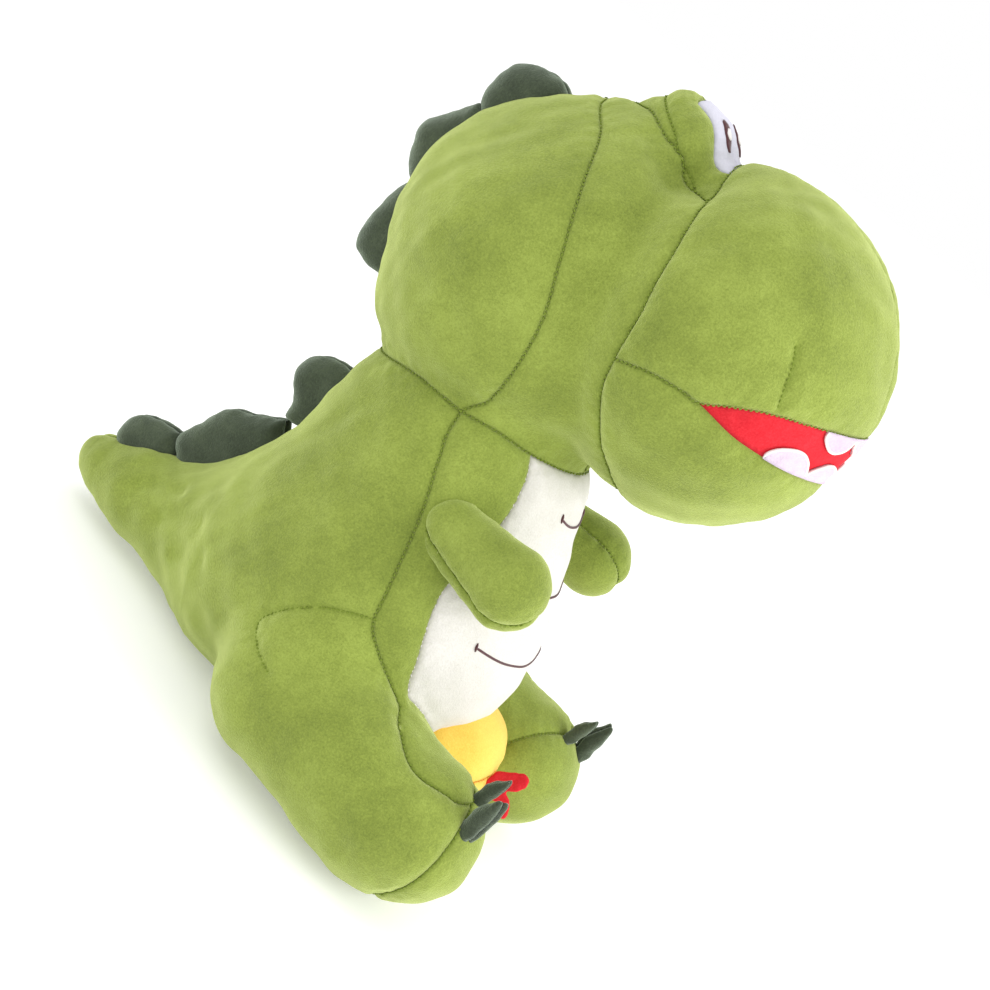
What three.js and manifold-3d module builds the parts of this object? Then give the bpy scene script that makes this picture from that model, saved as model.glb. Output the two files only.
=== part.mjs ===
// Sitting stuffed dinosaur: sewn pile fabric panels over separate fibre stuffing, in millimetres.
// +X is the way the muzzle points, +Y is the toy's left, +Z is up and Z = 0 is the seat plane.
import * as THREE from 'three';
import { mergeVertices } from 'three/addons/utils/BufferGeometryUtils.js';
import Module from 'manifold-3d';

const wasm = await Module();
wasm.setup();
const { Manifold } = wasm;

// Cloth and clearances
const SKIN = 2.5;            // pile fabric with its backing
const GAP = 0.3;             // clearance between touching pieces
const FILL_INSET = 5.0;      // how far the stuffing stays inside the outer surface
const FAR = 260;             // reach of the cutting prisms
const AROUND = 18;           // facets around each large form
const ALONG = 10;            // facets from pole to pole

// Head frame: centre of the head above the seat, and its nose-up tilt
const HEAD_X = 35.8;
const HEAD_Z = 288;
const HEAD_TILT = THREE.MathUtils.degToRad(14);

// Head forms in the head frame: [centre x, y, z], [radius x, y, z]
const SKULL = [[-48, 0, -1], [81, 76, 80]];
const NAPE = [[-46, 0, -46], [74, 62, 40]];
const MUZZLE = [[48, 0, -6], [78, 74, 83]];
const EYE = [[-14, 12, 67], [23, 16, 31]];

// Body forms in the toy's own frame
const BELLY = [[21, 0, 89], [88, 82, 92]];
const TAIL_ROOT = [[-38, 0, 48], [-138, 0, 26], 52, 15];
const TAIL_TIP = [[-118, 0, 31], [-151, 0, 27], 21, 9];
const BACK = [[-4, 0, 128], [58, 66, 72]];
const LEG = [[42, 62, 46], [116, 70, 42], 45, 41, 0.9];
const ARM = [[46, 58, 157], [87, 63, 159], 19, 19, 0.9];
const ARM_INNER_FACE = 47;   // flat inner face of the arm, beside the chest
const ARM_SEAM = 61;         // seam between the outer and the inner half of the arm
const ARM_SWING = 24;        // degrees the arm turns up or down about the shoulder
const ARM_CLEARANCE = 0.9;

// The chest is round about the neck pivot, so the hollow head turns on it
const NECK_CHEST = [[17, 0, 166], [76, 65.5, 76]];
const NECK_CLEARANCE = 1.7;

// Lap pad and its felt tab, belly embroidery, claws
const LAP_PAD = [[100, 0, 52], [32, 42, 29]];
const TAB_THICKNESS = 2;
const STITCH_LINES = [
  { z: 182, sag: 4, halfWidth: 16 },
  { z: 147, sag: 5, halfWidth: 30 },
  { z: 113, sag: 6, halfWidth: 44 },
];
const TAB_OUTLINE = [[130, 50], [131, 60], [135.5, 63.4], [138.8, 66.3], [142.2, 68.6], [145, 68.8],
  [147, 66.5], [147.2, 62.9], [144.9, 58.8], [142, 56], [142.6, 54.4], [145.4, 53], [148, 50.6],
  [149.6, 47], [149.6, 43.8], [147.6, 43.2], [145.6, 45.6], [142.6, 48.2], [138.5, 47.4]];
const CLAWS = [
  { centre: [144, 69, 84], radii: [7, 5.5, 11], lean: 22 },
  { centre: [150.5, 84, 76], radii: [7, 5.5, 15], lean: 4 },
];

// Panel seams of the head in its (x, z) plane
const CROWN_SEAM = [[-66, 110], [-56, 80], [-39, 63], [-30, 43], [-20, 6], [-17, -20],
  [-21, -48], [-29, -67], [-41, -79], [-60, -110]];
const CHEEK_SEAM = [[14, 110], [17, 73], [22, 32], [22, -3], [20, -22], [19, -41],
  [24, -62], [32, -80], [40, -110]];
const LIP_UPPER = [[20, -22], [39, -20], [63, -23], [77, -18], [91, -14], [111, -12], [170, -9]];
const LIP_LOWER = [[20, -22], [39, -20], [63, -23], [82, -30], [99, -34], [115, -38], [170, -58]];
const MOUTH = [[63, -23], [77, -18], [91, -14], [111, -12], [170, -9], [170, -58], [115, -38],
  [99, -34], [82, -30]];

// Panel seams of the body in its (x, z) plane, from the neck down to the toes
const SIDE_SEAM = [[8, 262], [16, 203], [23, 183], [35, 163], [42, 145], [49, 119], [54, 104],
  [76, 88], [98, 79], [114, 75], [131, 75], [200, 76]];
const INNER_LEG = { x: 56, y: 66, z: 86 };
const BELLY_EDGE = [[37, 230], [38, 196], [41, 180], [47, 164], [56, 133], [58, 113], [60, 95],
  [52, 80], [30, 72]];
const SEAT_HALF = [38, 30];
const SEAT_TOP = 22;
const SOLE_PLANE = [152, 0, 40];

// Colours of the cloths
const GREEN = { color: 0xa3b957, roughness: 0.9, metalness: 0 };
const DARK_GREEN = { color: 0x56694f, roughness: 0.9, metalness: 0 };
const WHITE = { color: 0xf3f2ef, roughness: 0.9, metalness: 0 };
const YELLOW = { color: 0xf8c85a, roughness: 0.9, metalness: 0 };
const RED = { color: 0xe8303a, roughness: 0.85, metalness: 0 };
const FELT = { color: 0xe9d9e6, roughness: 0.95, metalness: 0 };
const THREAD = { color: 0x5a2a30, roughness: 0.6, metalness: 0 };
const FIBRE = { color: 0xfafafa, roughness: 1, metalness: 0 };

// The forms are laid out from the hips; this puts the origin under the middle of the toy
const ORIGIN_SHIFT = -0.425;

const group = new THREE.Group();
group.name = 'stuffed_dinosaur';

// ---- helpers -------------------------------------------------------------------------------

function solid(geometry) {
  const bare = geometry.clone();
  bare.deleteAttribute('normal');
  bare.deleteAttribute('uv');
  const welded = mergeVertices(bare, 1e-4);
  return new Manifold(new wasm.Mesh({
    numProp: 3,
    vertProperties: new Float32Array(welded.attributes.position.array),
    triVerts: new Uint32Array(welded.index.array),
  }));
}

// Keep only the largest body, so that a sliver cut off beside a seam is dropped.
function largest(body) {
  const bodies = body.decompose();
  bodies.sort((a, b) => b.volume() - a.volume());
  return bodies[0];
}

function add(name, body, look) {
  const mesh = largest(body).translate([ORIGIN_SHIFT, 0, 0]).getMesh();
  const geometry = new THREE.BufferGeometry();
  geometry.setAttribute('position', new THREE.BufferAttribute(mesh.vertProperties, 3));
  geometry.setIndex(new THREE.BufferAttribute(mesh.triVerts, 1));
  geometry.computeVertexNormals();
  const node = new THREE.Mesh(geometry, new THREE.MeshStandardMaterial(look));
  node.name = name;
  group.add(node);
}

function headMatrix() {
  const turn = new THREE.Matrix4().makeRotationY(-HEAD_TILT);
  return new THREE.Matrix4().makeTranslation(HEAD_X, 0, HEAD_Z).multiply(turn);
}

function inHead(geometry) {
  return geometry.applyMatrix4(headMatrix());
}

// An ellipsoid whose pole axis is Y, so that its sections across Y are circles when rx = rz.
function egg([centre, radius], inset, around, along) {
  const ball = new THREE.SphereGeometry(1, around, along);
  ball.rotateX(Math.PI / 2);
  ball.rotateZ(Math.PI);
  ball.scale(radius[0] - inset, radius[1] - inset, radius[2] - inset);
  ball.translate(...centre);
  return ball;
}

// A rounded cone between two balls, flattened in Y by the last value.
function limb([a, b, ra, rb, flat = 1], inset, side, around) {
  const from = new THREE.Vector3(a[0], a[1] * side, a[2]);
  const to = new THREE.Vector3(b[0], b[1] * side, b[2]);
  const length = from.distanceTo(to);
  const profile = [];
  const steps = 4;
  for (let i = 0; i <= steps; i += 1) {
    const t = (Math.PI / 2) * (i / steps) - Math.PI / 2;
    profile.push(new THREE.Vector2((ra - inset) * Math.cos(t), (ra - inset) * Math.sin(t)));
  }
  for (let i = 0; i <= steps; i += 1) {
    const t = (Math.PI / 2) * (i / steps);
    profile.push(new THREE.Vector2((rb - inset) * Math.cos(t), length + (rb - inset) * Math.sin(t)));
  }
  profile[0].x = 0;
  profile[profile.length - 1].x = 0;
  const turned = new THREE.LatheGeometry(profile, around);
  const lean = new THREE.Quaternion().setFromUnitVectors(
    new THREE.Vector3(0, 1, 0),
    to.clone().sub(from).normalize(),
  );
  turned.applyQuaternion(lean);
  turned.scale(1, flat, 1);
  turned.translate(from.x, from.y, from.z);
  return solid(turned);
}

// A prism over an outline in the (x, z) plane, from y0 to y1.
function prism(outline, y0, y1) {
  const shape = new THREE.Shape(outline.map(([x, z]) => new THREE.Vector2(x, z)));
  const block = new THREE.ExtrudeGeometry(shape, { depth: y1 - y0, bevelEnabled: false });
  block.translate(0, 0, -y1);
  block.rotateX(Math.PI / 2);
  return block;
}

function box(x0, x1, y0, y1, z0, z1) {
  const block = new THREE.BoxGeometry(x1 - x0, y1 - y0, z1 - z0);
  block.translate((x0 + x1) / 2, (y0 + y1) / 2, (z0 + z1) / 2);
  return block;
}

// The region on one side of a seam that runs from top to bottom, moved back by half a gap.
function region(seam, direction) {
  const shifted = seam.map(([x, z]) => [x + (direction * GAP) / 2, z]);
  const edge = direction * FAR;
  const outline = [...shifted, [edge, shifted[shifted.length - 1][1]], [edge, shifted[0][1]]];
  return prism(outline, -FAR, FAR);
}

function shiftUp(line, amount) {
  return line.map(([x, z]) => [x, z + amount]);
}

function half(side) {
  return solid(side < 0 ? box(-FAR, FAR, -FAR, -GAP / 2, -FAR, 2 * FAR)
    : box(-FAR, FAR, GAP / 2, FAR, -FAR, 2 * FAR));
}

// ---- forms ---------------------------------------------------------------------------------

function headForm(inset, around, along) {
  const forms = [SKULL, NAPE, MUZZLE];
  const parts = forms.map((form) => solid(inHead(egg(form, inset, around, along))));
  return parts[0].add(parts[1]).add(parts[2]);
}

function bodyForm(inset, around, along) {
  let form = neckForm(-inset);
  form = form.add(solid(egg(BELLY, inset, around, along)));
  form = form.add(solid(egg(BACK, inset, around, along)));
  form = form.add(limb(TAIL_ROOT, inset, 1, around));
  form = form.add(limb(TAIL_TIP, inset, 1, around - 6));
  form = form.add(limb(LEG, inset, -1, around));
  form = form.add(limb(LEG, inset, 1, around));
  return form.intersect(solid(box(-FAR, FAR, -FAR, FAR, inset, FAR)));
}

// The neck surface: every section across Y is a circle about the pivot.
function neckForm(growth) {
  return solid(egg(NECK_CHEST, -growth, 28, 10));
}

const headOuter = headForm(0, AROUND, ALONG);
const headInner = headForm(SKIN, AROUND, ALONG);
const headSkin = headOuter.subtract(headInner).subtract(neckForm(NECK_CLEARANCE));
const bodyOuter = bodyForm(0, AROUND, ALONG);
const bodyInner = bodyForm(SKIN, AROUND, ALONG);
const bodySkin = bodyOuter.subtract(bodyInner);

// ---- head ----------------------------------------------------------------------------------

function sidedName(name, side) {
  return `${name}_${side < 0 ? 'right' : 'left'}`;
}

function headPanels() {
  const back = solid(inHead(region(CROWN_SEAM, -1)));
  const cheekFront = solid(inHead(region(CHEEK_SEAM, -1)));
  const cheekBack = solid(inHead(region(CROWN_SEAM, 1)));
  const front = solid(inHead(region(CHEEK_SEAM, 1)));
  const upper = shiftUp(LIP_UPPER, GAP / 2);
  const lower = shiftUp(LIP_LOWER, -GAP / 2);
  const above = solid(inHead(prism([...upper, [170, 130], [-20, 130], [-20, -22]], -FAR, FAR)));
  const below = solid(inHead(prism([[-20, -22], ...lower, [170, -130], [-20, -130]], -FAR, FAR)));
  const eyes = [-1, 1].map((side) => eyeForm(side, -GAP));
  const skin = headSkin.subtract(eyes[0]).subtract(eyes[1]);
  for (const side of [-1, 1]) {
    const flank = skin.intersect(half(side));
    add(sidedName('crown_panel', side), flank.intersect(back), GREEN);
    add(sidedName('cheek_panel', side), flank.intersect(cheekFront).intersect(cheekBack), GREEN);
    add(sidedName('snout_panel', side), flank.intersect(front).intersect(above), GREEN);
    add(sidedName('jaw_panel', side), flank.intersect(front).intersect(below), GREEN);
  }
}

function eyeForm(side, inset) {
  const [centre, radius] = EYE;
  return solid(inHead(egg([[centre[0], centre[1] * side, centre[2]], radius], inset, 14, 8)));
}

// Each eye is a raised green pad with a white cloth front and an embroidered pupil.
function eye(side) {
  const seat = headForm(-GAP, AROUND, ALONG);
  const own = half(side);
  const outer = eyeForm(side, 0).subtract(seat).intersect(own);
  const front = solid(inHead(prism([[1, 140], [1, 30], [60, 30], [60, 140]], -FAR, FAR)));
  const behind = solid(inHead(prism([[1 - GAP, 140], [1 - GAP, 30], [-90, 30], [-90, 140]], -FAR, FAR)));
  const shell = outer.subtract(eyeForm(side, SKIN));
  add(sidedName('eye_hood', side), shell.intersect(behind), GREEN);
  add(sidedName('eye_white', side), shell.intersect(front), WHITE);
  const fill = eyeForm(side, FILL_INSET).subtract(headForm(-2, AROUND, ALONG));
  add(sidedName('eye_stuffing', side), fill.intersect(own), FIBRE);
  const disc = new THREE.CylinderGeometry(7, 7, 60, 14);
  disc.rotateZ(Math.PI / 2);
  disc.scale(1, 0.75, 1.2);
  disc.translate(40, side * 11, 74);
  const patch = eyeForm(side, -GAP - 0.8).subtract(eyeForm(side, -GAP)).subtract(seat);
  add(sidedName('eye_pupil', side), patch.intersect(solid(inHead(disc))), THREAD);
}

function muzzleForm(inset) {
  return solid(inHead(egg(MUZZLE, inset, AROUND, ALONG)));
}

// A band of cloth following the muzzle between two depths, inside a wedge outline.
function mouthBand(outline, outerDepth, innerDepth, halfWidth) {
  const wedge = solid(inHead(prism(outline, -halfWidth, halfWidth)));
  return muzzleForm(outerDepth).subtract(muzzleForm(innerDepth)).intersect(wedge);
}

function toothRow(points, base) {
  return [...points, ...base];
}

function mouth() {
  const lining = [[50, -12], [91, -6], [170, 0], [170, -70], [99, -44], [50, -32]];
  add('mouth_lining', mouthBand(lining, 7.5, 9.5, FAR), RED);
  const lowerTeeth = toothRow(
    [[84, -27], [90, -24], [97, -27], [101, -29], [106, -25], [113, -27], [117, -31], [170, -36]],
    [[170, -66], [99, -42], [80, -37]],
  );
  add('lower_teeth', mouthBand(lowerTeeth, 3.2, 5, FAR), FELT);
  const upperTeeth = toothRow(
    [[99, -15], [103, -19], [109, -21], [115, -18], [119, -21], [170, -24]],
    [[170, -2], [111, -4], [96, -8]],
  );
  add('upper_teeth', mouthBand(upperTeeth, 3.2, 5, FAR), FELT);
}

function headStuffing() {
  const mouthRoom = solid(inHead(prism([[45, -6], [170, 8], [170, -78], [45, -40]], -FAR, FAR)));
  const trench = muzzleForm(-5).subtract(muzzleForm(10.5)).intersect(mouthRoom);
  const fill = headForm(FILL_INSET, 14, 9).subtract(neckForm(2.5)).subtract(trench);
  add('head_stuffing', fill, FIBRE);
}

// ---- crests --------------------------------------------------------------------------------

// A plump flat lobe standing on the mid line, trimmed to sit on the surface below it.
function lobe(centre, radius, turn) {
  const pad = new THREE.SphereGeometry(1, 12, 6);
  pad.scale(...radius);
  pad.rotateY(THREE.MathUtils.degToRad(turn));
  pad.translate(...centre);
  return solid(pad);
}

function headCrest() {
  const seat = headForm(-GAP, AROUND, ALONG);
  const lobes = [
    lobe([-64, 0, 320], [30, 12, 24], -28),
    lobe([-91, 0, 276], [18, 12, 30], 18),
    lobe([-88, 0, 229], [15, 12, 27], 2),
  ];
  lobes.forEach((body, i) => {
    let piece = body.subtract(seat);
    if (i > 0) {
      piece = piece.subtract(lobeGrown(lobes[i - 1]));
    }
    add(`head_crest_${i + 1}`, piece.subtract(neckForm(12)), DARK_GREEN);
  });
}

function lobeGrown(body) {
  return body.translate([GAP, 0, GAP]).add(body.translate([-GAP, 0, -GAP])).add(body);
}

function backCrest() {
  const seat = bodyForm(-GAP, AROUND, ALONG);
  const lobes = [
    lobe([-63, 0, 143], [23, 11, 23], 20),
    lobe([-90, 0, 87], [24, 11, 31], 40),
    lobe([-129, 0, 52], [24, 10, 17], 20),
  ];
  lobes.forEach((body, i) => {
    let piece = body.subtract(seat);
    if (i > 0) {
      piece = piece.subtract(lobeGrown(lobes[i - 1]));
    }
    add(`back_crest_${i + 1}`, piece, DARK_GREEN);
  });
}

// ---- body ----------------------------------------------------------------------------------

function bellyRegion(gap) {
  const half = BELLY_EDGE.map(([y, z]) => [y + gap, z]);
  const outline = [...half, ...half.map(([y, z]) => [-y, z]).reverse()];
  const shape = new THREE.Shape(outline.map(([y, z]) => new THREE.Vector2(y, z - gap)));
  const block = new THREE.ExtrudeGeometry(shape, { depth: 120, bevelEnabled: false });
  block.rotateX(Math.PI / 2);
  block.rotateZ(Math.PI / 2);
  block.translate(38 - gap, 0, 0);
  return solid(block);
}

function innerLeg(gap) {
  const { x, y, z } = INNER_LEG;
  return solid(box(x - gap, FAR, -y - gap, y + gap, -FAR, z + gap));
}

// Everything behind and below the side seam, which runs from the neck down to the toes.
function belowSideSeam(shift) {
  const seam = SIDE_SEAM.map(([x, z]) => [x + shift, z + shift]);
  return solid(prism([...seam, [200, -40], [-FAR, -40], [-FAR, 262 + shift]], -FAR, FAR));
}

function seat(gap) {
  const [a, b] = SEAT_HALF;
  const block = new THREE.CylinderGeometry(1, 1, SEAT_TOP * 2 + gap, 20);
  block.rotateX(Math.PI / 2);
  block.scale(a + gap, b + gap, 1);
  block.translate(BELLY[0][0], 0, 0);
  return solid(block);
}

// The soles close the front ends of the legs.
function sole(side, gap) {
  const [x, , z] = SOLE_PLANE;
  const disc = new THREE.CylinderGeometry(41 + gap, 41 + gap, 40, 20);
  disc.rotateZ(Math.PI / 2);
  disc.scale(1, 0.86, 1);
  disc.translate(x + 6 - gap, side * LEG[1][1], z);
  return solid(disc);
}

function bodyPanels() {
  const sockets = armSweep(-1, ARM_CLEARANCE).add(armSweep(1, ARM_CLEARANCE));
  const behind = belowSideSeam(-GAP / 2).subtract(innerLeg(GAP));
  const notFlank = belowSideSeam(GAP / 2).subtract(innerLeg(0));
  const plain = bodySkin.subtract(bellyRegion(GAP)).subtract(seat(GAP)).subtract(sockets);
  const panels = plain.subtract(sole(-1, GAP)).subtract(sole(1, GAP));
  for (const side of [-1, 1]) {
    const flank = panels.intersect(half(side));
    add(sidedName('back_panel', side), flank.intersect(behind), GREEN);
    add(sidedName('flank_panel', side), flank.subtract(notFlank), GREEN);
    add(sidedName('sole_panel', side), bodySkin.intersect(sole(side, 0)), GREEN);
  }
  const belly = bodySkin.intersect(bellyRegion(0)).subtract(seat(GAP));
  add('belly_panel', belly.subtract(sockets), WHITE);
  add('seat_panel', bodySkin.intersect(seat(0)), GREEN);
}

function bodyStuffing() {
  const fill = bodyForm(FILL_INSET, 14, 9);
  add('body_stuffing', fill.subtract(armSweep(-1, SKIN)).subtract(armSweep(1, SKIN)), FIBRE);
}

// Three smiling lines of thread across the belly.
function bellyLines() {
  const band = bodyForm(-GAP - 0.9, AROUND, ALONG).subtract(bodyForm(-GAP, AROUND, ALONG));
  STITCH_LINES.forEach(({ z, sag, halfWidth }, i) => {
    const upper = [];
    const lower = [];
    for (let k = -6; k <= 6; k += 1) {
      const y = (halfWidth * k) / 6;
      const rise = sag * (k / 6) ** 2;
      upper.push(new THREE.Vector2(y, z + rise + 0.9));
      lower.unshift(new THREE.Vector2(y, z + rise - 0.9));
    }
    const arc = new THREE.ExtrudeGeometry(
      new THREE.Shape([...upper, ...lower]),
      { depth: 120, bevelEnabled: false },
    );
    arc.rotateX(Math.PI / 2);
    arc.rotateZ(Math.PI / 2);
    arc.translate(40, 0, 0);
    add(`belly_line_${i + 1}`, band.intersect(solid(arc)), THREAD);
  });
}

// A small yellow pad sewn below the belly, with a two-lobed red felt tab that stands out in front of it.
function lap() {
  const pad = solid(egg(LAP_PAD, 0, AROUND, ALONG)).intersect(solid(box(-FAR, FAR, -FAR, FAR, 6, FAR)));
  add('lap_pad', pad.subtract(bodyForm(-GAP, AROUND, ALONG)), YELLOW);
  const outline = new THREE.Shape(TAB_OUTLINE.map(([x, z]) => new THREE.Vector2(x, z)));
  const felt = new THREE.ExtrudeGeometry(outline, { depth: TAB_THICKNESS, bevelEnabled: false });
  felt.translate(0, 0, -TAB_THICKNESS / 2);
  felt.rotateX(Math.PI / 2);
  add('lap_tab', solid(felt).subtract(solid(egg(LAP_PAD, -GAP, AROUND, ALONG))), RED);
}

// Two upright claws stand on the upper edge of each foot.
function claws() {
  const seatForm = bodyForm(-GAP, AROUND, ALONG);
  for (const side of [-1, 1]) {
    CLAWS.forEach(({ centre, radii, lean }, i) => {
      const nail = new THREE.SphereGeometry(1, 8, 8);
      nail.scale(...radii);
      nail.rotateY(THREE.MathUtils.degToRad(lean));
      nail.translate(centre[0], side * centre[1], centre[2]);
      add(`claw_${i + 1}_${side < 0 ? 'right' : 'left'}`, solid(nail).subtract(seatForm), DARK_GREEN);
    });
  }
}

// ---- arms ----------------------------------------------------------------------------------

// Outside the flat inner face of the arm, moved inwards by the growth.
function besideChest(side, growth) {
  const near = ARM_INNER_FACE - growth;
  return solid(side < 0 ? box(-FAR, FAR, -FAR, -near, -FAR, 2 * FAR)
    : box(-FAR, FAR, near, FAR, -FAR, 2 * FAR));
}

function armForm(side, inset) {
  return limb(ARM, inset, side, 14).intersect(besideChest(side, -inset));
}

// All the room the arm needs while it turns about the shoulder, as a pocket beside the chest.
function armSweep(side, growth) {
  const [shoulder, hand, rootRadius, handRadius] = ARM;
  const reach = hand[0] - shoulder[0];
  const outline = [];
  const put = (x, z, radius, degrees) => {
    const t = THREE.MathUtils.degToRad(degrees);
    outline.push([x + (radius + growth) * Math.cos(t), z + (radius + growth) * Math.sin(t)]);
  };
  for (let a = 90 + ARM_SWING; a <= 270 - ARM_SWING; a += 11) {
    put(shoulder[0], shoulder[2], rootRadius, a);
  }
  for (const swing of [-ARM_SWING, 0, ARM_SWING]) {
    const t = THREE.MathUtils.degToRad(swing);
    const x = shoulder[0] + reach * Math.cos(t);
    const z = shoulder[2] + reach * Math.sin(t);
    const from = swing < 0 ? -90 + swing : swing - 12;
    const to = swing > 0 ? 90 + swing : swing + 12;
    for (let a = from; a <= to + 1; a += (to - from) / 5) {
      put(x, z, handRadius + 1, a);
    }
  }
  const near = ARM_INNER_FACE - growth;
  return solid(side < 0 ? prism(outline, -120, -near) : prism(outline, near, 120));
}

function arms() {
  for (const side of [-1, 1]) {
    const skin = armForm(side, 0).subtract(armForm(side, SKIN));
    const seam = ARM_SEAM;
    const outward = side < 0 ? box(-FAR, FAR, -FAR, -seam - GAP / 2, -FAR, FAR)
      : box(-FAR, FAR, seam + GAP / 2, FAR, -FAR, FAR);
    const inward = side < 0 ? box(-FAR, FAR, -seam + GAP / 2, 0, -FAR, FAR)
      : box(-FAR, FAR, 0, seam - GAP / 2, -FAR, FAR);
    add(sidedName('arm_outer', side), skin.intersect(solid(outward)), GREEN);
    add(sidedName('arm_inner', side), skin.intersect(solid(inward)), GREEN);
    add(sidedName('arm_stuffing', side), armForm(side, FILL_INSET - 0.8), FIBRE);
  }
}

headPanels();
eye(-1);
eye(1);
mouth();
headStuffing();
headCrest();
bodyPanels();
bodyStuffing();
bellyLines();
backCrest();
lap();
claws();
arms();

export default group;
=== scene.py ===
import math
import bpy
import numpy as np
from mathutils import Matrix, Vector
from mathutils.kdtree import KDTree

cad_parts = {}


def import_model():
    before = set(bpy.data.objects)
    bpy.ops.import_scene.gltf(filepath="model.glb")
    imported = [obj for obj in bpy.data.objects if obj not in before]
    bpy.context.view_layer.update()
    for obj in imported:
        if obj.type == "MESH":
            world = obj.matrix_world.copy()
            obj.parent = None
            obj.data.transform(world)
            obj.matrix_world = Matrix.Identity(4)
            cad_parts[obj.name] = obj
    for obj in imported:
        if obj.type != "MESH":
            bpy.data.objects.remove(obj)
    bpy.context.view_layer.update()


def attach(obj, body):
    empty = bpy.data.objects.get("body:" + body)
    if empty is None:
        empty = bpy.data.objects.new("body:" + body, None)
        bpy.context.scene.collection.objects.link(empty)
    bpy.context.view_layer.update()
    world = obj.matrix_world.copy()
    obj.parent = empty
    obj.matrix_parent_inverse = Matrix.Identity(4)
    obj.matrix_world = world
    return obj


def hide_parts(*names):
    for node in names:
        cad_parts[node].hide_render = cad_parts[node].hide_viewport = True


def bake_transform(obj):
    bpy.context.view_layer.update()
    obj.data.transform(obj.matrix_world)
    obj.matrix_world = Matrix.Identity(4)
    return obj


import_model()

MM = 0.001
SHIFT = -0.425          # the forms are laid out from the hips; the origin is under the middle
GRID = 1.7              # mesh spacing of the big cloth panels, mm
SIDES = ((-1, "right"), (1, "left"))
MIRROR = [1, -1, 1]
TRIANGLE_EDGES = ((0, 1), (1, 2), (2, 0))


# ---------------------------------------------------------------- camera
ROLLED = math.radians(40.0)         # how far the toy is laid back on the picture
TURNED = math.radians(22.0)         # how far the camera is round to the front
RAISED = math.radians(4.5)
DISTANCE = 0.75
AIM = Vector(((40 + SHIFT) * MM, 0, 0.167))
LENS, SENSOR = 54.545, 36.0         # mm


def lay(p, y, q):
    """A direction given upright, laid back by the roll of the picture."""
    c, s = math.cos(ROLLED), math.sin(ROLLED)
    return Vector((p * c - q * s, y, p * s + q * c))


def add_camera():
    back = lay(math.sin(TURNED) * math.cos(RAISED), -math.cos(TURNED) * math.cos(RAISED), math.sin(RAISED))
    right = lay(math.cos(TURNED), math.sin(TURNED), 0.0)
    up = right.cross(-back)
    cam = bpy.data.cameras.new("camera")
    cam.lens, cam.sensor_width = LENS, SENSOR
    o = bpy.data.objects.new("camera", cam)
    m = Matrix((right, up, back)).transposed().to_4x4()
    m.translation = AIM + back * DISTANCE
    o.matrix_world = m
    bpy.context.collection.objects.link(o)
    bpy.context.scene.camera = o
    return right, up, back


RIGHT, UP, BACK = add_camera()

# ---------------------------------------------------------------- forms, mm
# A form gives the distance from the surface, negative inside. The head has a frame of its own,
# centred at HX, HZ and tipped up by 14 degrees.
HX, HZ, TILT = 35.8, 288.0, math.radians(14.0)
CT, ST = math.cos(TILT), math.sin(TILT)
REST_Z = 0.5                        # where the cloth is pressed flat by what it sits on


def to_head(p):
    dx, dz = p[..., 0] - HX, p[..., 2] - HZ
    return np.stack([dx * CT + dz * ST, p[..., 1], -dx * ST + dz * CT], -1)


def from_head(h):
    h = np.asarray(h, float)
    x, z = h[..., 0], h[..., 2]
    return np.stack([HX + x * CT - z * ST, h[..., 1], HZ + x * ST + z * CT], -1)


def egg(p, c, r):
    """Nearly the distance to an ellipsoid with centre c and radii r."""
    r = np.array(r, float)
    q = (p - np.array(c, float)) / r
    k0 = np.sqrt((q ** 2).sum(-1))
    k1 = np.sqrt(((q / r) ** 2).sum(-1)) + 1e-9
    return k0 * (k0 - 1) / k1


def smin(a, b, k):
    """The smaller of two distances, rounded over a blend of width k."""
    h = np.clip(0.5 + 0.5 * (b - a) / k, 0, 1)
    return b * (1 - h) + a * h - k * h * (1 - h)


def limb(p, a, b, ra, rb, flat=1.0):
    """A round-ended cone from a to b, with its width in Y multiplied by flat."""
    mid = 0.5 * (a[1] + b[1])
    s = np.array([1, 1 / flat, 1])
    o = np.array([0, mid, 0])
    p = (p - o) * s
    a = (np.array(a, float) - o) * s
    b = (np.array(b, float) - o) * s
    ab = b - a
    t = np.clip(((p - a) @ ab) / (ab @ ab), 0, 1)
    return np.linalg.norm(p - a - t[..., None] * ab, axis=-1) - (ra + (rb - ra) * t)


def dimple(h, centre, reach_mm, depth):
    """A soft hollow pressed into both sides of the head, or a rise where depth is negative."""
    gap = (h[..., 0] - centre[0]) ** 2 + (np.abs(h[..., 1]) - centre[1]) ** 2 + (h[..., 2] - centre[2]) ** 2
    return depth * np.exp(-gap / reach_mm ** 2)


def head_form(p):
    h = to_head(p)
    skull = egg(h, (-48, 0, -1), (81, 76, 80))
    nape = egg(h, (-46, 0, -46), (74, 62, 40))
    muzzle = egg(h, (47, 0, -4), (78, 74, 83))
    temple = dimple(h, (-78, 50, 50), 38, 12)
    eye_corner = dimple(h, (13, 34, 62), 15, 7)
    brow = dimple(h, (-30, 0, 74), 22, -7)
    bridge = dimple(h, (25, 0, 72), 22, -4.5)
    return smin(smin(skull, nape, 20), muzzle, 7) + temple + eye_corner + brow + bridge


def eye_form(p):
    h = to_head(p)
    crease = 2                      # how soft the fold between the two eyes is
    h = np.stack([h[..., 0], np.sqrt(h[..., 1] ** 2 + crease ** 2), h[..., 2]], -1)
    return smin(egg(h, (-16, 0, 64.5), (26, 27, 33)), egg(h, (-4, 6, 61), (17, 21, 29)), 8)


def folded(p):
    """The point's twin on the left side."""
    return np.stack([p[..., 0], np.abs(p[..., 1]), p[..., 2]], -1)


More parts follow.
